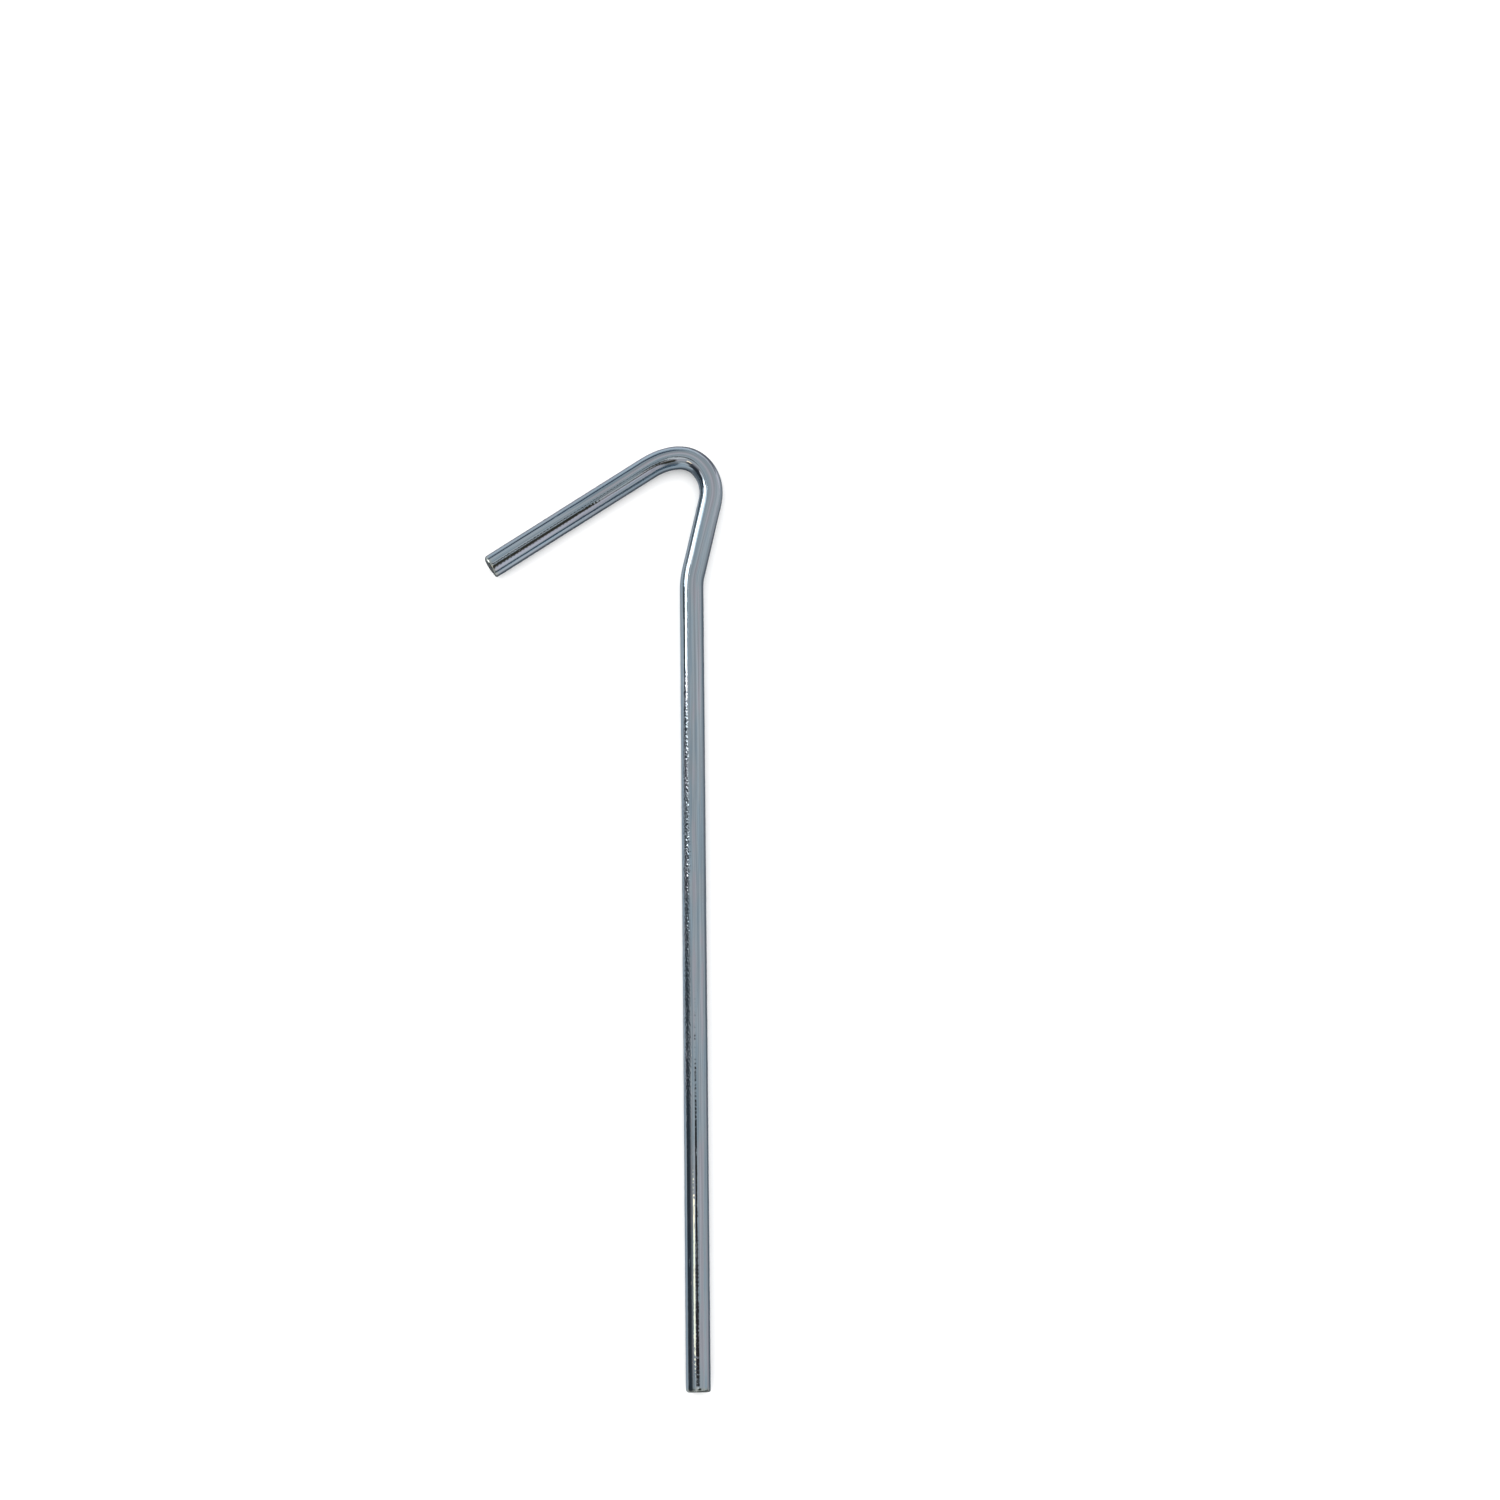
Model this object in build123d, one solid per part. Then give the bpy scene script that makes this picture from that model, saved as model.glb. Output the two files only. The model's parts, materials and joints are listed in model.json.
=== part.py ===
from build123d import *

import math
import os

# Tent stake: one length of round steel rod, cold bent to a hook at one end.
# A straight shaft goes into the ground. A slight kink leans the neck away from the hook's side, the hook
# then turns back over the shaft in three tangent arcs, and a straight arm points out and down.
#
# Row frame, in millimetres: the stake lies on its side on the plane Z = 0, as on a table. +Y runs along
# the shaft from the tip to the hook, the arm reaches towards -X, and +Z is square to the plane of the
# bends. The origin is the middle of the bounding box's underside.

# Rod
ROD_DIAMETER = 6.3
END_ROUNDING = 0.8  # the cropped ends are tumbled, which rounds their edges

# Centreline, from the tip to the end of the arm
OVERALL_LENGTH = 250.0  # along the shaft, from the tip to the top of the hook
KINK_ANGLE = 13.4
KINK_RADIUS = 16.0
NECK_LENGTH = 20.7
HOOK_ARCS = ((54.3, 10.9), (53.0, 7.5), (28.6, 16.1))  # angle and radius of each arc, neck first
ARM_LENGTH = 51.0

ROD_RADIUS = ROD_DIAMETER / 2


def heading_vector(degrees):
    """The unit vector in the XY plane at this angle from +X."""
    return Vector(math.cos(math.radians(degrees)), math.sin(math.radians(degrees)), 0)


def line_from(start, heading, length):
    """A straight run and the point where it ends."""
    end = start + heading_vector(heading) * length
    return Line(start, end), end


def arc_from(start, heading, angle, radius):
    """A tangent arc that turns left for a positive angle, with its end point and its end heading."""
    side = heading_vector(heading + math.copysign(90, angle)) * radius
    centre = start + side
    middle = centre - side.rotate(Axis.Z, angle / 2)
    end = centre - side.rotate(Axis.Z, angle)
    return ThreePointArc(start, middle, end), end, heading + angle


def centreline(shaft_length):
    """The rod's centreline as tangent lines and arcs, with the shaft's axis on X = 0 and the tip at Y = 0."""
    heading = 90
    run, point = line_from(Vector(0, 0, 0), heading, shaft_length)
    edges = [run]
    arc, point, heading = arc_from(point, heading, -KINK_ANGLE, KINK_RADIUS)
    edges.append(arc)
    run, point = line_from(point, heading, NECK_LENGTH)
    edges.append(run)
    for angle, radius in HOOK_ARCS:
        arc, point, heading = arc_from(point, heading, angle, radius)
        edges.append(arc)
    run, point = line_from(point, heading, ARM_LENGTH)
    edges.append(run)
    return Wire(edges)


def hook_height():
    """How far the top of the hook stands above the end of the straight shaft."""
    return centreline(1).bounding_box().max.Y - 1 + ROD_RADIUS


def bent_rod():
    """The whole stake: a round section swept along the centreline, with rounded end edges."""
    path = centreline(OVERALL_LENGTH - hook_height())
    section = Plane(origin=path @ 0, z_dir=path % 0) * Circle(ROD_RADIUS)
    rod = sweep(section, path=path, transition=Transition.TRANSFORMED)
    end_edges = [
        face.edges().filter_by(GeomType.CIRCLE)[0]
        for face in rod.faces().filter_by(GeomType.PLANE)
    ]
    return fillet(end_edges, END_ROUNDING)


def placed(shape):
    """Moves a shape so that the origin is the middle of its bounding box's underside."""
    box = shape.bounding_box()
    centre = box.center()
    return Pos(-centre.X, -centre.Y, -box.min.Z) * shape


os.makedirs("parts", exist_ok=True)
export_step(placed(bent_rod()), "parts/stake_rod.step")
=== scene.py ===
import json
import math

import bpy
import numpy as np
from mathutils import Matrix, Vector


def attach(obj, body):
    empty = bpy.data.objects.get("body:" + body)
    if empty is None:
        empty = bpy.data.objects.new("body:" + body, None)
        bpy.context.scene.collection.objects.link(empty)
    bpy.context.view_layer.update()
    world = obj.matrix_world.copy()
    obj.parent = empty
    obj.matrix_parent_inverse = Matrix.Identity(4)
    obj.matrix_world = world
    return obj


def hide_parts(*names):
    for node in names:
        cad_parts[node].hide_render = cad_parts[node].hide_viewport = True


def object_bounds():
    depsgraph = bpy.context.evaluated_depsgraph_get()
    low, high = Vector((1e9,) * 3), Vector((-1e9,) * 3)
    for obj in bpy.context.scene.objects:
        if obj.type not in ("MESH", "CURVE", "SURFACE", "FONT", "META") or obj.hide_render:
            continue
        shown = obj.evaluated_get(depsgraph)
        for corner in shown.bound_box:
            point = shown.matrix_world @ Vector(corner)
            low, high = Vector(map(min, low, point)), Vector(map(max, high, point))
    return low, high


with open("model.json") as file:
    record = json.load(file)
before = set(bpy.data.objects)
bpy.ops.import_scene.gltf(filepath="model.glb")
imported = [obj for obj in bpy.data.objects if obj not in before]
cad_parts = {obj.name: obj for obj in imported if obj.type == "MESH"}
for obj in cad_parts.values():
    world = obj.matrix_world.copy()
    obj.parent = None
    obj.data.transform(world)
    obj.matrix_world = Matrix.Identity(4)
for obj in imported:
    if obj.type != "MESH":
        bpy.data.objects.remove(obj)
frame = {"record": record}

# Tent stake: one length of round steel rod, bent to a hook and zinc plated, lying on a pale studio floor.
# The CAD node gives the place and the overall size. This script traces the same bends, adds what cropping,
# bending, tumbling and plating leave on the metal, and gives it a procedural finish.
# Lengths are in millimetres until the rod's mesh is made. The studio's are in metres.

MM = 0.001
FULL_TURN = 2 * math.pi
cad_low, cad_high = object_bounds()
mounts = {mount["name"]: mount for mount in frame["record"]["mounts"]}

# Rod and bends, as in the CAD model
ROD_RADIUS = mounts["shaft"]["dims"]["r_mm"]
OVERALL_LENGTH = (cad_high.y - cad_low.y) / MM
END_ROUNDING = 0.8
KINK_ANGLE = 13.4
KINK_RADIUS = 16.0
NECK_LENGTH = 20.7
HOOK_ARCS = ((54.3, 10.9), (53.0, 7.5), (28.6, 16.1))  # angle and radius of each arc, neck first
ARM_LENGTH = 51.0

# What forming leaves on the rod
BEND_EASE = 2.0  # a bend's curvature builds up over about this length
NECKING = 0.05  # share that the rod thins, in the plane of the bends, per unit of strain
SPREADING = 0.30  # share that the inside of a bend widens and its outside narrows, per unit of strain
PEEL_HEIGHT = 0.0010  # root mean square of the plating's orange peel
PEEL_WAVES = 90
PEEL_LENGTHS = (1.2, 3.2)
SWELL_HEIGHT = 0.006  # root mean square of the long swells that straightening rolls leave
SWELL_LENGTHS = (9.0, 13.0, 21.0, 34.0)
FACET_HEIGHT = 0.004  # of the flats that drawing leaves along the rod
FACET_TURNS = (3, 5, 8, 13)  # how many times each set of flats repeats round the rod
FACET_WANDER = 0.25  # how far a flat strays round the rod, in radians
FACET_REACHES = (30, 70)  # each set strays over a length drawn from between these
DING_COUNT = 110
DING_SIZES = (0.35, 1.0)
DING_DEPTHS = (0.004, 0.028)
DING_STRETCHES = (0.7, 1.8)  # length of a dent along the rod as a share of its width
DING_MARGIN = 1.5  # no dent's middle is nearer to an end than this
DING_CUTOFF = 3  # beyond this many of its lengths a dent is left out

# Short nicks that the bending tool leaves on the outside of the hook
NICK_COUNT = 7
NICKS_FROM = 242.5  # from the tip, along the rod
NICK_SPACING = 1.1
NICK_DEPTH = 0.030
NICK_LENGTH = 0.38  # along the rod
NICK_WIDTH = 0.8  # round the rod
NICK_SLANT = 0.3
NICK_ANGLE, NICK_STAGGER, NICK_DRIFT = 124, 5, 2  # places round the rod from its inner side, in degrees

# Cropped ends
TIP_LEAN, ARM_LEAN = 70, 200  # where round the rod each face stands highest, in degrees
ROUNDING_UNEVEN, ROUNDING_LUMPY = 0.28, 0.10  # how much the rounding varies, as shares of it
FACE_TILT = 0.055
FACE_STEP = 0.10  # depth of the step where the metal tore instead of shearing
STEP_PLACE, STEP_BOW, STEP_SOFTNESS = 0.25, 0.35, 0.05  # as shares of the rod's radius
FACE_GRAIN = 0.012
GRAIN_WAVES = 24
GRAIN_LENGTHS = (0.5, 1.6)

# Mesh
TRACE_STEP = 0.05
AROUND = 96
RING_SPACING = 0.32
FACE_RINGS = 12
ROUNDING_RINGS = 9
SEED = 20


# ---------------------------------------------------------------------------------------------------------
# Centreline
# ---------------------------------------------------------------------------------------------------------

def running_sum(values, step):
    """The integral of values, by the trapezium rule, starting from nought."""
    return np.concatenate(([0.0], np.cumsum((values[1:] + values[:-1]) / 2 * step)))


def trace(shaft_length):
    """Distance from the tip, x, y, heading and curvature along the centreline.
    The tip is at nought, and the shaft runs towards +Y."""
    runs = [
        (shaft_length, 0.0),
        (math.radians(KINK_ANGLE) * KINK_RADIUS, -1 / KINK_RADIUS),
        (NECK_LENGTH, 0.0),
    ]
    runs += [(math.radians(angle) * radius, 1 / radius) for angle, radius in HOOK_ARCS]
    runs += [(ARM_LENGTH, 0.0)]
    ends = np.cumsum([length for length, _ in runs])
    count = round(ends[-1] / TRACE_STEP) + 1
    along, step = np.linspace(0, ends[-1], count, retstep=True)
    run_at = np.minimum(np.searchsorted(ends, along, side="right"), len(runs) - 1)
    curvature = np.array([bend for _, bend in runs])[run_at]
    ease = np.hanning(2 * round(BEND_EASE / step) + 1)
    curvature = np.convolve(curvature, ease / ease.sum(), mode="same")
    heading = math.pi / 2 + running_sum(curvature, step)
    x = running_sum(np.cos(heading), step)
    y = running_sum(np.sin(heading), step)
    return along, x, y, heading, curvature


def centreline():
    """The centreline in the model's frame, with its length and its sides fitted to the CAD box."""
    trial_shaft = 100.0
    trial = trace(trial_shaft)
    shaft_length = trial_shaft + OVERALL_LENGTH - (trial[2].max() + ROD_RADIUS)
    along, x, y, heading, curvature = trace(shaft_length)
    x += cad_high.x / MM - ROD_RADIUS - x.max()
    y += cad_low.y / MM
    return along, x, y, heading, curvature


# ---------------------------------------------------------------------------------------------------------
# Relief: small changes of the round section, in millimetres outwards
# ---------------------------------------------------------------------------------------------------------

def wave_field(along, angle, count, shortest, longest, draw):
    """A seamless random relief of unit root mean square, from waves of these lengths in every direction."""
    field = np.zeros_like(along)
    for _ in range(count):
        length = math.exp(draw.uniform(math.log(shortest), math.log(longest)))
        slant = draw.uniform(0, math.pi)
        phase = draw.uniform(0, FULL_TURN)
        turns = round(FULL_TURN * ROD_RADIUS * math.sin(slant) / length)
        field += np.sin(FULL_TURN * math.cos(slant) / length * along + turns * angle + phase)
    return field / math.sqrt(count / 2)


def swells(along, draw):
    """Long, uneven swells along the rod, of unit root mean square."""
    field = np.zeros_like(along)
    for length in SWELL_LENGTHS:
        exact = length * draw.uniform(0.9, 1.1)
        phase = draw.uniform(0, FULL_TURN)
        field += np.sin(FULL_TURN * along / exact + phase)
    return field / math.sqrt(len(SWELL_LENGTHS) / 2)


def facets(along, angle, draw):
    """The shallow flats that a drawing die leaves, which wander slowly round the rod."""
    field = np.zeros_like(along)
    for turns in FACET_TURNS:
        reach = draw.uniform(*FACET_REACHES)
        wander = FACET_WANDER * np.sin(along / reach + draw.uniform(0, FULL_TURN))
        field += np.cos(turns * (angle + wander) + draw.uniform(0, FULL_TURN)) / turns ** 0.5
    return field / 2


def dings(along, angle, total, draw):
    """Round shallow dents from tumbling loose with other stakes."""
    field = np.zeros_like(along)
    first = along[:, 0]
    for _ in range(DING_COUNT):
        at = draw.uniform(DING_MARGIN, total - DING_MARGIN)
        turn = draw.uniform(0, FULL_TURN)
        size = draw.uniform(*DING_SIZES)
        depth = draw.uniform(*DING_DEPTHS)
        long = size * draw.uniform(*DING_STRETCHES)
        near = slice(*np.searchsorted(first, (at - DING_CUTOFF * long, at + DING_CUTOFF * long)))
        across = (angle[near] - turn + math.pi) % FULL_TURN - math.pi
        reach = ((along[near] - at) / long) ** 2 + (across * ROD_RADIUS / size) ** 2
        field[near] -= depth * np.exp(-reach)
    return field


def tool_nicks(along, angle):
    """A short ladder of nicks, high on the outside of the hook."""
    field = np.zeros_like(along)
    for step in range(NICK_COUNT):
        at = NICKS_FROM + NICK_SPACING * step
        turn = math.radians(NICK_ANGLE + NICK_STAGGER * (-1) ** step + NICK_DRIFT * step)
        across = (angle - turn) * ROD_RADIUS
        slanted = along - at + NICK_SLANT * across
        field -= NICK_DEPTH * np.exp(-(slanted / NICK_LENGTH) ** 2 - (across / NICK_WIDTH) ** 2)
    return field


# ---------------------------------------------------------------------------------------------------------
# The rod's mesh
# ---------------------------------------------------------------------------------------------------------

def end_rings(angle, lean, draw):
    """Depth from the end plane and radius of an end's rings, from its middle out to the full rod.
    Cropping leaves the face out of square, with a rough step, and tumbling rounds its edge unevenly."""
    uneven = ROUNDING_UNEVEN * np.cos(angle - lean)
    lumpy = ROUNDING_LUMPY * np.cos(3 * angle + lean)
    rounding = END_ROUNDING * (1 + uneven + lumpy)
    face_radius = ROD_RADIUS - rounding
    depths, radii = [], []
    for share in np.linspace(0, 1, FACE_RINGS + 1)[1:]:
        depths.append(np.zeros_like(angle))
        radii.append(share * face_radius)
    for turn in np.linspace(0, math.pi / 2, ROUNDING_RINGS + 1)[1:]:
        depths.append(rounding * (1 - math.cos(turn)))
        radii.append(face_radius + rounding * math.sin(turn))
    depths, radii = np.array(depths), np.array(radii)
    sheared = radii * np.cos(angle - lean) / ROD_RADIUS
    sideways = radii * np.sin(angle - lean) / ROD_RADIUS
    on_face = np.clip((ROD_RADIUS - radii) / END_ROUNDING, 0, 1)
    edge_of_step = STEP_PLACE - STEP_BOW * sideways ** 2
    step = 1 / (1 + np.exp((sheared - edge_of_step) / STEP_SOFTNESS))
    grain = wave_field(radii * np.cos(angle), sideways, GRAIN_WAVES, *GRAIN_LENGTHS, draw)
    relief = FACE_TILT * (1 - sheared) + FACE_STEP * step + FACE_GRAIN * grain * step
    return depths + relief * on_face, radii


def rod_rings(along, total, draw):
    """Distance from the tip, radius and angle of every vertex but the two in the middles of the end faces."""
    angle = np.linspace(0, FULL_TURN, AROUND, endpoint=False)
    tip_depth, tip_radius = end_rings(angle, math.radians(TIP_LEAN), draw)
    arm_depth, arm_radius = end_rings(angle, math.radians(ARM_LEAN), draw)
    margin = 2 * END_ROUNDING
    body = np.linspace(margin, total - margin, round((total - 2 * margin) / RING_SPACING) + 1)
    body = np.repeat(body[:, None], AROUND, axis=1)
    places = np.vstack((tip_depth, body, (total - arm_depth)[::-1]))
    radii = np.vstack((tip_radius, np.full_like(body, ROD_RADIUS), arm_radius[::-1]))
    return places, radii, np.broadcast_to(angle, places.shape)


def rod_points(line, places, radii, angle, draw):
    """The vertices, each ring square to the centreline, with the relief and the bends' changes of section."""
    along, x, y, heading, curvature = line
    total = along[-1]
    bend = np.interp(places, along, curvature)
    shape = radii / ROD_RADIUS
    relief = PEEL_HEIGHT * wave_field(places, angle, PEEL_WAVES, *PEEL_LENGTHS, draw)
    relief += SWELL_HEIGHT * swells(places, draw)
    relief += FACET_HEIGHT * facets(places, angle, draw)
    relief += dings(places, angle, total, draw)
    relief += tool_nicks(places, angle)
    radii = radii + relief * shape ** 4
    strain = bend * ROD_RADIUS
    spread = SPREADING * strain
    upward = radii * np.sin(angle) * (1 + spread * np.cos(angle) * shape) * (1 - spread ** 2 / 2)
    inward = radii * np.cos(angle) * (1 - NECKING * np.abs(strain))
    turn = np.interp(places, along, heading)
    points = np.stack((
        np.interp(places, along, x) - inward * np.sin(turn),
        np.interp(places, along, y) + inward * np.cos(turn),
        cad_low.z / MM + ROD_RADIUS + upward,
    ), axis=-1)
    return points, strain * np.cos(angle) * shape


def rod_faces(rings):
    """Quads between successive rings, and a fan at each end. The two middle vertices come after the rings."""
    near = np.arange(AROUND)
    far = np.roll(near, -1)
    first_quads = np.stack((near, far, far + AROUND, near + AROUND), axis=-1)
    quads = np.stack([first_quads + row * AROUND for row in range(rings - 1)]).reshape(-1, 4)
    tip, arm = rings * AROUND, rings * AROUND + 1
    last = (rings - 1) * AROUND
    fans = [(int(b), int(a), tip) for a, b in zip(near, far)]
    fans += [(int(a) + last, int(b) + last, arm) for a, b in zip(near, far)]
    return quads.tolist() + fans


def add_attribute(mesh, name, kind, values):
    """Stores one value or vector for each vertex, for the material to read."""
    layer = mesh.attributes.new(name, kind, "POINT")
    field = "vector" if kind == "FLOAT_VECTOR" else "value"
    layer.data.foreach_set(field, np.asarray(values, np.float32).ravel())


def with_middles(values, rings):
    """Adds the values of the two middle vertices, each the mean of the ring beside it."""
    flat = values.reshape(rings * AROUND, -1)
    return np.vstack((flat, flat[:AROUND].mean(axis=0), flat[-AROUND:].mean(axis=0)))


def make_rod():
    """The whole stake as one closed mesh, with coordinates that follow the rod as if it were straight."""
    draw = np.random.default_rng(SEED)
    line = centreline()
    places, radii, angle = rod_rings(line[0], line[0][-1], draw)
    rings = len(places)
    points, strain = rod_points(line, places, radii, angle, draw)
    mesh = bpy.data.meshes.new("stake_rod_plated")
    mesh.from_pydata((with_middles(points, rings) * MM).tolist(), [], rod_faces(rings))
    mesh.polygons.foreach_set("use_smooth", [True] * len(mesh.polygons))
    straight = np.stack((radii * np.cos(angle), radii * np.sin(angle), places), axis=-1)
    from_end = np.minimum(places, line[0][-1] - places)
    on_face = np.clip((ROD_RADIUS - radii) / END_ROUNDING, 0, 1)
    add_attribute(mesh, "rod_place", "FLOAT_VECTOR", with_middles(straight, rings))
    add_attribute(mesh, "strain", "FLOAT", with_middles(strain, rings))
    add_attribute(mesh, "from_end", "FLOAT", with_middles(from_end, rings))
    add_attribute(mesh, "on_face", "FLOAT", with_middles(on_face, rings))
    mesh.validate()
    rod = bpy.data.objects.new("stake_rod_plated", mesh)
    bpy.context.scene.collection.objects.link(rod)
    return rod


# ---------------------------------------------------------------------------------------------------------
# Short calls for shader nodes
# ---------------------------------------------------------------------------------------------------------

class Shader:
    """Adds linked nodes to one shader tree. An input is a number, a colour or another node's output."""

    def __init__(self, tree):
        self.tree = tree
        tree.nodes.clear()

    def add(self, kind, inputs=(), **settings):
        node = self.tree.nodes.new("ShaderNode" + kind)
        for name, value in settings.items():
            setattr(node, name, value)
        for key, value in dict(inputs).items():
            if isinstance(value, bpy.types.NodeSocket):
                self.tree.links.new(value, node.inputs[key])
            else:
                node.inputs[key].default_value = value
        return node

    def calc(self, operation, first, second=0.0):
        return self.add("Math", {0: first, 1: second}, operation=operation).outputs[0]

    def plus(self, first, second):
        return self.calc("ADD", first, second)

    def times(self, first, second):
        return self.calc("MULTIPLY", first, second)

    def scaled(self, place, factors):
        """The place with each coordinate multiplied. A small factor draws a pattern out that way."""
        return self.add("VectorMath", {0: place, 1: factors}, operation="MULTIPLY").outputs[0]

    def dot(self, first, second):
        return self.add("VectorMath", {0: first, 1: second}, operation="DOT_PRODUCT").outputs["Value"]

    def span(self, value, low, high, to_low=0.0, to_high=1.0):
        """Eases from to_low at low to to_high at high."""
        return self.add(
            "MapRange", {0: value, 1: low, 2: high, 3: to_low, 4: to_high}, interpolation_type="SMOOTHSTEP"
        ).outputs[0]

    def within(self, value, start, full, ending, end):
        """Eases from nought at start to one at full, and back from one at ending to nought at end."""
        return self.times(self.span(value, start, full), self.span(value, end, ending))

    def noise(self, place, scale, detail=2.0, rough=0.5):
        return self.add(
            "TexNoise", {"Vector": place, "Scale": scale, "Detail": detail, "Roughness": rough}
        ).outputs[0]

    def mix(self, share, first, second, blend="MIX"):
        """The first colour where share is nought and the second, blended with it, where share is one."""
        node = self.add("Mix", data_type="RGBA", blend_type=blend)
        for socket, value in ((node.inputs[0], share), (node.inputs[6], first), (node.inputs[7], second)):
            if isinstance(value, bpy.types.NodeSocket):
                self.tree.links.new(value, socket)
            else:
                socket.default_value = value if isinstance(value, float) else (*value, 1.0)
        return node.outputs[2]

    def attribute(self, name, output="Fac"):
        return self.add("Attribute", attribute_name=name).outputs[output]


# ---------------------------------------------------------------------------------------------------------
# Zinc plate with a clear blue passivate
# ---------------------------------------------------------------------------------------------------------

ZINC_BLUE = (0.395, 0.500, 0.580)
ZINC_GREY = (0.450, 0.520, 0.575)
ZINC_ROSE = (0.495, 0.508, 0.565)
ZINC_STRAW = (0.560, 0.560, 0.430)
CROP_DARK = (0.30, 0.31, 0.30)
CROP_PALE = (0.50, 0.50, 0.46)
EDGE_TINT = (0.60, 0.64, 0.70, 1.0)
DRAWN = (1.0, 1.0, 0.012)  # draws a pattern out along the rod into lines
MOTTLED = (50.0, 95.0, 150.0, 205.0)  # from the tip: where deeper pits start, are full, start to end, and end
GRIPPED = (248.0, 258.0, 268.0, 292.0)  # the same for the stretch that the bending tool dulls
RIPPLED = (255.0, 285.0)  # the arm's ripples grow between these
BUMP_MM = 0.045  # height of a bump of one unit


def plate_colour(s, place, drawn, crop_grain, from_end, on_face):
    """Drawn streaks, blue to rose tints, straw at the very ends and the bare grain of the cropped faces."""
    fine_streaks = s.noise(drawn, 1.9, 4.0, 0.6)
    broad_streaks = s.noise(drawn, 0.95, 2.0)
    patches = s.noise(s.scaled(place, (1.0, 1.0, 0.16)), 0.55, 3.0)
    tint = s.plus(s.times(broad_streaks, 0.60), s.times(patches, 0.40))
    colour = s.mix(s.span(tint, 0.41, 0.51), ZINC_BLUE, ZINC_GREY)
    colour = s.mix(s.span(tint, 0.52, 0.60), colour, ZINC_ROSE)
    shade = s.span(fine_streaks, 0.28, 0.72, 0.78, 1.14)
    shades = s.add("CombineColor", {0: shade, 1: shade, 2: shade}).outputs[0]
    colour = s.mix(1.0, colour, shades, "MULTIPLY")
    straw = s.times(s.span(from_end, 1.6, 0.2), 0.55)
    colour = s.mix(straw, colour, ZINC_STRAW)
    cropped = s.mix(crop_grain, CROP_DARK, CROP_PALE)
    return s.mix(s.span(on_face, 0.75, 1.0), colour, cropped)


def plate_roughness(s, place, along, strain, on_face):
    """Bright, but duller in patches, on a bend's stretched outside, where it was gripped and on the faces."""
    patchy = s.noise(s.scaled(place, (1.0, 1.0, 0.06)), 0.9, 3.0)
    dull = s.span(patchy, 0.35, 0.75, 0.030, 0.085)
    scuffs = s.span(s.noise(place, 1.5, 3.0), 0.45, 0.70, 0.0, 0.16)
    scuffed = s.times(s.span(strain, -0.10, -0.32), scuffs)
    roughness = s.plus(dull, scuffed)
    roughness = s.plus(roughness, s.span(on_face, 0.6, 1.0, 0.0, 0.26))
    return s.plus(roughness, s.times(s.within(along, *GRIPPED), 0.07))


def plate_relief(s, place, drawn, crop_grain, on_face):
    """Pits in patches, drawn lines, faint ripples, a few scratches and the grain of the cropped faces."""
    inward, _, along = s.add("SeparateXYZ", {0: place}).outputs
    patches = s.span(s.noise(s.scaled(place, (1.0, 1.0, 0.10)), 0.25, 2.0), 0.35, 0.65, 0.5, 1.5)
    mottled = s.times(s.within(along, *MOTTLED), s.span(inward, 0.4, 1.4))
    pit_depth = s.times(patches, s.span(mottled, 0.0, 1.0, 0.12, 3.0))
    pits = s.times(s.noise(s.scaled(place, (1.0, 1.0, 0.7)), 2.3, 1.0, 0.4), pit_depth)
    lines = s.noise(drawn, 2.7, 2.0, 0.5)
    ripple_inputs = {"Vector": place, "Scale": 0.30, "Distortion": 2.5, "Detail": 2.0, "Detail Scale": 0.6}
    ripple = s.add("TexWave", ripple_inputs, wave_type="BANDS", bands_direction="Z").outputs[1]
    scratch_place = s.add("Mapping", {0: place, 2: (0.35, 0.6, 0.25), 3: (6.0, 0.35, 0.22)}).outputs[0]
    scratches = s.span(s.noise(scratch_place, 1.0, 1.0), 0.70, 0.78)
    height = s.plus(pits, s.times(lines, 0.14))
    height = s.plus(height, s.times(ripple, s.span(along, *RIPPLED, 0.03, 0.16)))
    height = s.calc("SUBTRACT", height, s.times(scratches, 0.18))
    return s.plus(height, s.times(s.times(crop_grain, on_face), 2.5))


def zinc_plate():
    """The finish of the whole rod."""
    material = bpy.data.materials.new("zinc_plate")
    material.use_nodes = True
    s = Shader(material.node_tree)
    place = s.attribute("rod_place", "Vector")
    along = s.add("SeparateXYZ", {0: place}).outputs[2]
    on_face = s.attribute("on_face")
    drawn = s.scaled(place, DRAWN)
    crop_grain = s.noise(s.scaled(place, (1.0, 3.0, 1.0)), 1.4, 4.0, 0.7)
    relief = plate_relief(s, place, drawn, crop_grain, on_face)
    bump = s.add("Bump", {"Height": relief, "Strength": 1.0, "Distance": BUMP_MM * MM})
    shader = s.add("BsdfPrincipled", {
        "Base Color": plate_colour(s, place, drawn, crop_grain, s.attribute("from_end"), on_face),
        "Metallic": 1.0,
        "Roughness": plate_roughness(s, place, along, s.attribute("strain"), on_face),
        "Specular Tint": EDGE_TINT,
        "Normal": bump.outputs[0],
    })
    s.add("OutputMaterial", {"Surface": shader.outputs[0]})
    return material


# ---------------------------------------------------------------------------------------------------------
# Studio: a pale floor with painted reflections, the surroundings that the metal mirrors, soft lights and the
# camera
# ---------------------------------------------------------------------------------------------------------

FLOOR_RADIUS = 4.0
FLOOR_SIDES = 160
FLOOR_PAINT = (0.90, 0.90, 0.90)
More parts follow.
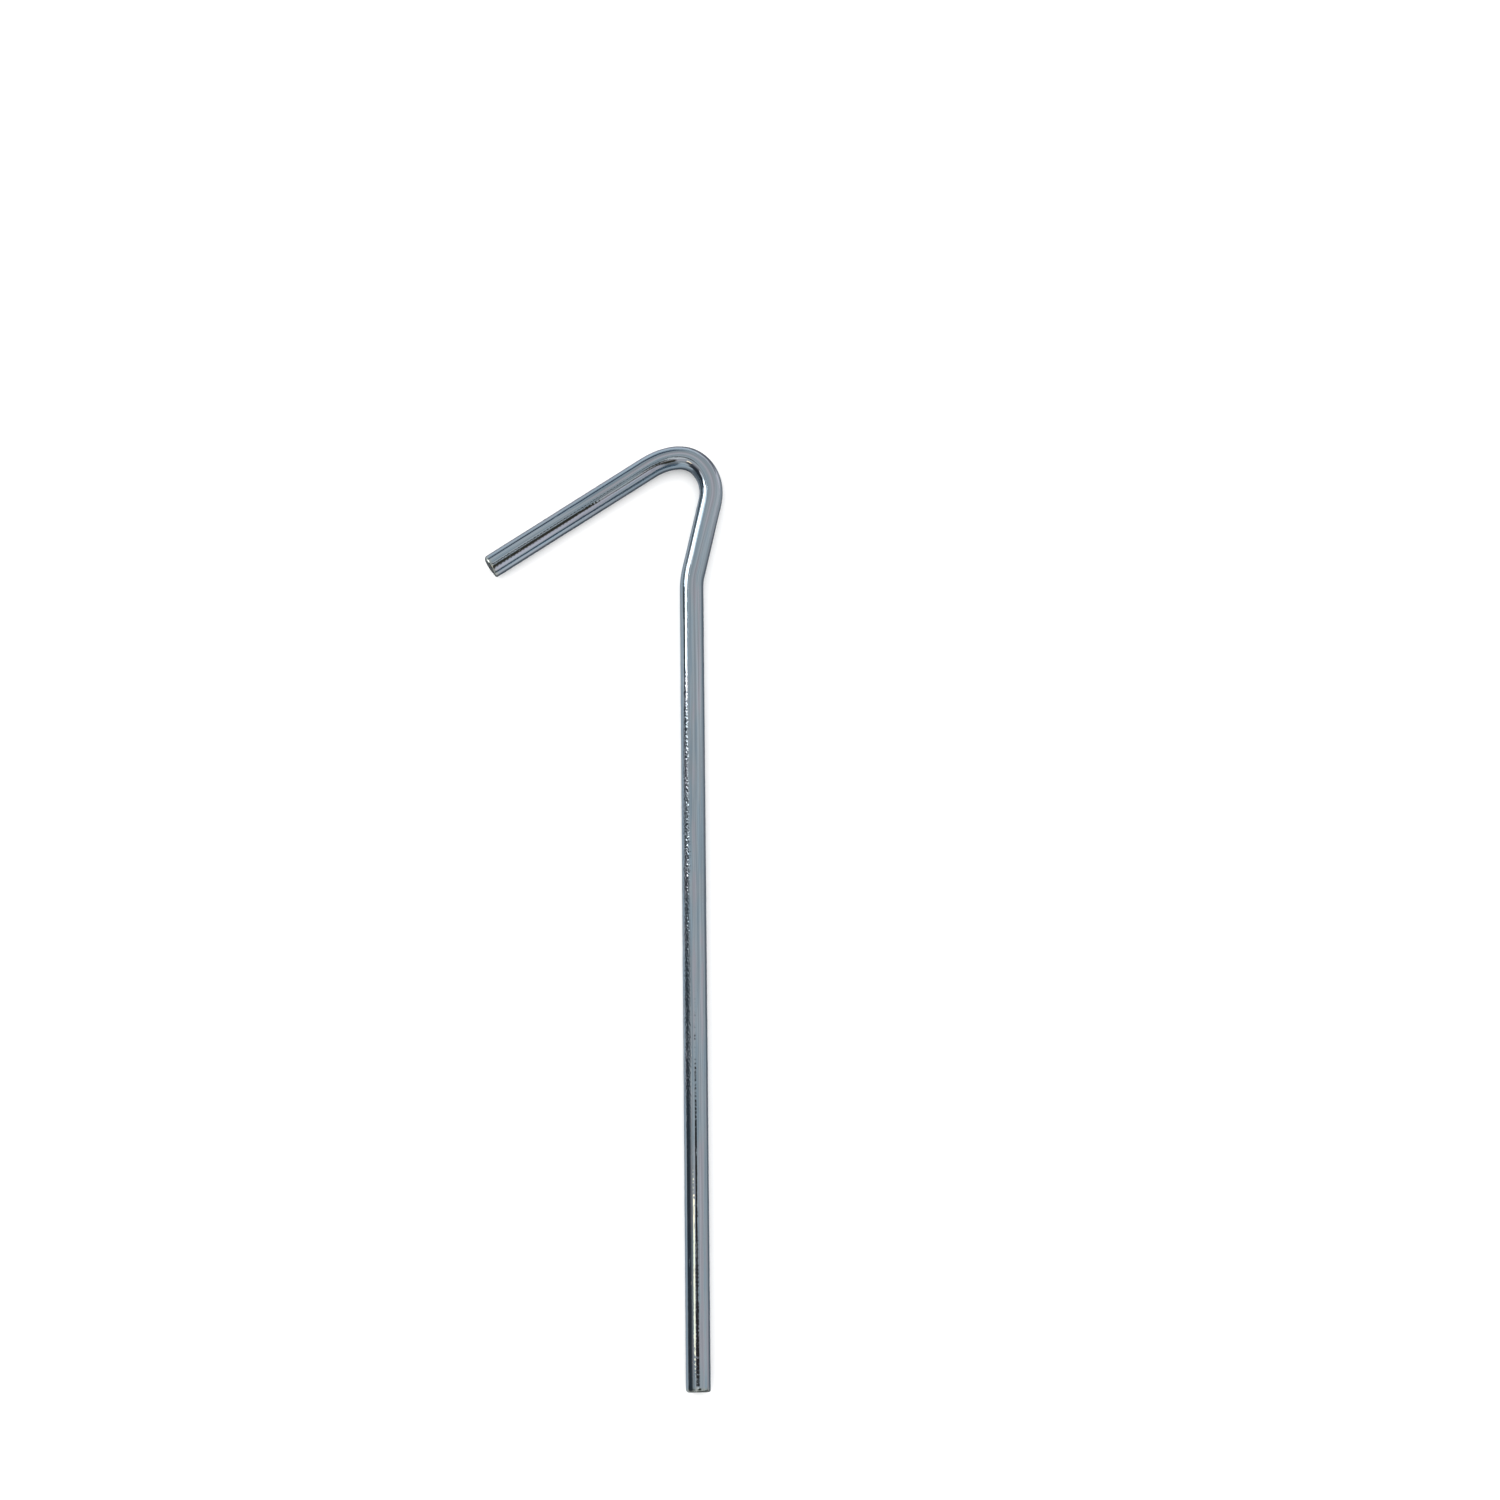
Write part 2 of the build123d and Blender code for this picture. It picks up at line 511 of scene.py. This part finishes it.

# The floor as the metal mirrors it: painted reflections, colours that the floor shows only to glossy rays,
# darker than its paint in stretches by the stake
MIRROR_LEFT = (0.43, 0.44, 0.455)  # painted reflection tone, left of the shaft
MIRROR_PAINTED_SHADOW = (0.150, 0.158, 0.168)  # painted shadow, close to the shaft on its right
MIRROR_RIGHT = (0.32, 0.33, 0.34)  # painted reflection tone, farther to the right
MIRROR_BEHIND = (0.52, 0.54, 0.57)  # painted reflection tone, past the hook
MIRROR_PAINTED_DARK = (0.024, 0.028, 0.033)  # painted dark reflection, left of the lower shaft
MIRROR_PAINTED_TIP = (0.06, 0.06, 0.06)  # painted dark reflection, in front of the tip
MIRROR_PAINTED_ARM_SHADOW = (0.07, 0.08, 0.09)  # painted shadow, in a strip along the line of the arm


def painted_floor_reflection(s, place):
    """The floor's colour as the metal mirrors it: painted reflection tones, painted dark patches and painted
    shadow in soft stretches about the stake. Edges are in metres.
    """
    across, away, _ = s.add("SeparateXYZ", {0: place}).outputs
    side = cad_high.x
    # Painted shadow in the mirror just right of the shaft, between painted reflection tones to its left and
    # farther right
    past_shaft = s.span(across, side - 0.006, side - 0.001)
    far_right = s.span(across, side - 0.001, side + 0.008)
    past_hook = s.span(away, 0.115, 0.140)
    # Painted dark reflection in the mirror, left of the lower shaft
    lower_left = s.times(s.span(across, side - 0.017, side - 0.045), s.span(away, 0.075, 0.035))
    # Painted dark reflection in the mirror, in front of the tip
    before_tip = s.span(away, cad_low.y, cad_low.y - 0.012, 0.0, 0.85)
    colour = s.mix(past_shaft, MIRROR_LEFT, s.mix(far_right, MIRROR_PAINTED_SHADOW, MIRROR_RIGHT))
    colour = s.mix(past_hook, colour, MIRROR_BEHIND)
    colour = s.mix(lower_left, colour, MIRROR_PAINTED_DARK)
    colour = s.mix(before_tip, colour, MIRROR_PAINTED_TIP)
    # Painted shadow in the mirror, within about a centimetre either side of the arm's line
    arm_x, arm_y, _ = mounts["hook_arm"]["axis"]
    arm_place = mounts["hook_arm"]["pos_m"]
    arm_offset = arm_place[1] * arm_x - arm_place[0] * arm_y
    off_arm = s.calc("SUBTRACT", s.dot(place, (-arm_y, arm_x, 0.0)), arm_offset)
    painted_arm_shadow = s.times(s.span(s.calc("ABSOLUTE", off_arm), 0.010, 0.006), 0.80)
    return s.mix(painted_arm_shadow, colour, MIRROR_PAINTED_ARM_SHADOW)


def make_floor():
    """A wide disc under the stake, plain to the camera but painted with reflection tones and shadow where the
    metal mirrors it. It is clear from below, so that the stake's underside can be seen.
    """
    mesh = bpy.data.meshes.new("studio_floor")
    turns = np.linspace(0, FULL_TURN, FLOOR_SIDES, endpoint=False)
    rim = np.stack((np.cos(turns), np.sin(turns), np.zeros(FLOOR_SIDES)), axis=-1) * FLOOR_RADIUS
    mesh.from_pydata((rim + np.array((0, 0, cad_low.z))).tolist(), [], [list(range(FLOOR_SIDES))])
    material = bpy.data.materials.new("floor_matte")
    material.use_nodes = True
    s = Shader(material.node_tree)
    # Glossy rays see the floor's painted reflection tones and painted shadow, other rays its plain paint
    mirrored = painted_floor_reflection(s, s.add("TexCoord").outputs["Object"])
    in_mirror = s.add("LightPath").outputs["Is Glossy Ray"]
    paint = s.add("BsdfDiffuse", {"Color": s.mix(in_mirror, FLOOR_PAINT, mirrored)})
    clear = s.add("BsdfTransparent")
    facing = s.add("NewGeometry").outputs["Backfacing"]
    shown = s.add("MixShader", {0: facing, 1: paint.outputs[0], 2: clear.outputs[0]})
    s.add("OutputMaterial", {"Surface": shown.outputs[0]})
    mesh.materials.append(material)
    floor = bpy.data.objects.new("studio_floor", mesh)
    bpy.context.scene.collection.objects.link(floor)
    return floor


def direction(azimuth, zenith):
    """The unit vector at this azimuth from +X and this angle from straight up, in degrees."""
    a, z = math.radians(azimuth), math.radians(zenith)
    return (math.cos(a) * math.sin(z), math.sin(a) * math.sin(z), math.cos(z))


ROOM_LOW = (0.48, 0.50, 0.52)
ROOM_HIGH = (0.59, 0.60, 0.61)
OLIVE_BLACK = (0.045, 0.046, 0.034)

# Round patches of the room: azimuth and angle from straight up of the middle, the angles from the middle
# where the patch starts to fade and has gone, all in degrees, and its colour. A later patch covers an
# earlier one.
ROOM_PATCHES = (
    (5, 66, 15, 38, (0.64, 0.65, 0.66)),
    (196, 86, 24, 62, (0.04, 0.050, 0.060)),
    (250, 84, 10, 24, (0.64, 0.66, 0.68)),
    (281, 76, 10, 20, (0.22, 0.23, 0.24)),
    (229, 56, 6, 20, (0.10, 0.11, 0.12)),
    (289, 43, 9, 17, OLIVE_BLACK),
    (290, 30, 7, 13, OLIVE_BLACK),
    (262, 9, 4, 10, (1.15, 1.13, 1.09)),
    (309, 56, 6, 14, (0.76, 0.78, 0.84)),
    (317, 26, 10.5, 14.5, (0.045, 0.045, 0.035)),
)

# Level bands of the room: lowest and highest height, as the sine of the elevation, the patch that limits
# the band, as above, and its colour
ROOM_BANDS = (
    ((0.00, 0.22), (306, 86, 16, 40), (0.08, 0.11, 0.15)),
    ((0.20, 0.43), (116, 72, 12, 40), (0.05, 0.08, 0.13)),
)
BAND_EDGE = 0.03

# A dark bar overhead, from left to right, and its thinner ends: limits and soft edge across, and then away
ROOM_BARS = (
    ((-0.18, 0.11, 0.03), (0.002, 0.108, 0.012)),
    ((-0.31, 0.24, 0.04), (0.002, 0.046, 0.014)),
)
BAR_COLOUR = (0.035, 0.03, 0.03)

EVEN_LIGHT = 1.75  # radiance of the surroundings as they light the floor
BACKDROP = (0.97, 0.97, 0.97, 1.0)


def room_colour(s, look):
    """The grey room that the metal mirrors, for each direction of look."""
    across, away, height = s.add("SeparateXYZ", {0: look}).outputs

    def toward(azimuth, zenith, inner, outer):
        """One within inner degrees of this direction, falling to nought at outer degrees."""
        angle = s.calc("ARCCOSINE", s.dot(look, direction(azimuth, zenith)))
        return s.span(angle, math.radians(outer), math.radians(inner))

    def between(value, low, high, edge):
        """One where value lies from low to high, with soft edges this wide to each side."""
        return s.within(value, low - edge, low + edge, high - edge, high + edge)

    room = s.mix(s.span(height, 0.0, 0.10), ROOM_LOW, ROOM_HIGH)
    for azimuth, zenith, inner, outer, colour in ROOM_PATCHES:
        room = s.mix(toward(azimuth, zenith, inner, outer), room, colour)
    for (low, high), patch, colour in ROOM_BANDS:
        band = s.times(between(height, low, high, BAND_EDGE), toward(*patch))
        room = s.mix(band, room, colour)
    for limits_across, limits_away in ROOM_BARS:
        bar = s.times(between(across, *limits_across), between(away, *limits_away))
        room = s.mix(bar, room, BAR_COLOUR)
    return room


def make_surroundings():
    """A grey room for the metal to mirror, an even light for the floor, and a plain pale backdrop to see."""
    world = bpy.data.worlds.new("studio")
    bpy.context.scene.world = world
    world.use_nodes = True
    s = Shader(world.node_tree)
    room = room_colour(s, s.add("TexCoord").outputs["Generated"])
    studio = s.add("Background", {"Color": room, "Strength": 1.0})
    even = s.add("Background", {"Color": (1.0, 1.0, 1.0, 1.0), "Strength": EVEN_LIGHT})
    backdrop = s.add("Background", {"Color": BACKDROP, "Strength": 1.0})
    path = s.add("LightPath")
    lit = s.add("MixShader", {0: path.outputs["Is Diffuse Ray"], 1: studio.outputs[0], 2: even.outputs[0]})
    seen = s.add("MixShader", {0: path.outputs["Is Camera Ray"], 1: lit.outputs[0], 2: backdrop.outputs[0]})
    s.add("OutputWorld", {"Surface": seen.outputs[0]})


def soft_light(name, place, target, width, height, radiance, colour=(1.0, 1.0, 1.0), spread=180):
    """A rectangular soft box at place that faces target, of this radiance straight ahead.
    Its light stays within spread degrees."""
    half_spread = math.radians(spread) / 2
    lamp = bpy.data.lights.new(name, "AREA")
    lamp.shape = "RECTANGLE"
    lamp.size, lamp.size_y = width, height
    lamp.spread = 2 * half_spread
    lamp.energy = radiance * math.pi * width * height * (1 - half_spread / math.tan(half_spread))
    lamp.color = colour
    light = bpy.data.objects.new(name, lamp)
    light.location = place
    light.rotation_mode = "QUATERNION"
    light.rotation_quaternion = (Vector(target) - Vector(place)).to_track_quat("-Z", "Y")
    light.visible_camera = False
    bpy.context.scene.collection.objects.link(light)
    return light


DAYLIGHT = (1.0, 0.99, 0.98)
SKYLIGHT = (0.90, 0.95, 1.0)
LAMPLIGHT = (1.0, 0.86, 0.56)
LAMP_GLOW = (1.0, 0.82, 0.50)
LAMP_PLACE, LAMP_TARGET = (-0.130, -0.078, 0.30), (0.023, -0.090, 0.0)
NECK_TOP = (0.0266, 0.1068, 0.006)
ARM_ROOT = (0.0045, 0.1143, 0.006)
HOOK_START = (0.0285, 0.116, 0.006)


def make_lights():
    """Soft lights that the metal mirrors and the floor doesn't catch, and a key light for the floor alone."""
    mirrored = (
        # The white line up the neck
        soft_light("window", (-0.29, 0.28, 0.18), (0.0, 0.28, 0.18), 0.16, 0.20, 3.4, DAYLIGHT),
        soft_light("sash", (-0.29, 0.17, 0.190), (0.0, 0.17, 0.190), 0.06, 0.12, 3.4, DAYLIGHT),
        soft_light("curtain", (-0.295, 0.24, 0.205), (0.0, 0.24, 0.205), 0.25, 0.13, 0.9, SKYLIGHT),
        # The cream line near the tip
        soft_light("lamp_edge", LAMP_PLACE, LAMP_TARGET, 0.060, 0.086, 2.0, LAMP_GLOW),
        soft_light("lamp", LAMP_PLACE, LAMP_TARGET, 0.050, 0.044, 6.5, LAMPLIGHT),
        # Small cards that light the neck's top, the arm's root and the start of the hook
        soft_light("neck_card", (-0.0464, 0.1524, 0.0896), NECK_TOP, 0.022, 0.034, 1.2, spread=30),
        soft_light("arm_card", (0.0169, 0.1027, 0.042), ARM_ROOT, 0.016, 0.014, 0.7, spread=48),
        soft_light("hook_card", (-0.0505, 0.111, 0.067), HOOK_START, 0.022, 0.032, 1.1, spread=28),
    )
    for light in mirrored:
        light.visible_diffuse = False
    key = soft_light("key", (-1.1, 0.9, 1.6), (0.0, 0.0, 0.0), 1.2, 1.2, 1.2)
    key.visible_glossy = False


AIM = (0.03843, 0.04117)  # where the camera looks, from the middle of the CAD box
CAMERA_DISTANCE = 0.8454
CAMERA_TILT = 12.14  # degrees that the camera leans towards the tip, away from straight above
CAMERA_TURN = -0.68  # degrees about the upright
CAMERA_LENS = 76.89  # for the standard sensor, 36 wide


def make_camera():
    """The camera, almost straight above, with the whole stake in view."""
    camera = bpy.data.objects.new("camera", bpy.data.cameras.new("camera"))
    camera.data.lens = CAMERA_LENS
    camera.rotation_euler = (math.radians(CAMERA_TILT), 0.0, math.radians(CAMERA_TURN))
    middle = (cad_low + cad_high) / 2
    aim = Vector((middle.x + AIM[0], middle.y + AIM[1], middle.z))
    camera.location = aim + camera.rotation_euler.to_matrix() @ Vector((0, 0, CAMERA_DISTANCE))
    bpy.context.scene.collection.objects.link(camera)
    bpy.context.scene.camera = camera


rod = make_rod()
rod.data.materials.append(zinc_plate())
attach(rod, "root")
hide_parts("stake_rod")

floor = make_floor()
make_surroundings()
make_lights()
make_camera()
bpy.context.scene.view_settings.view_transform = "Standard"
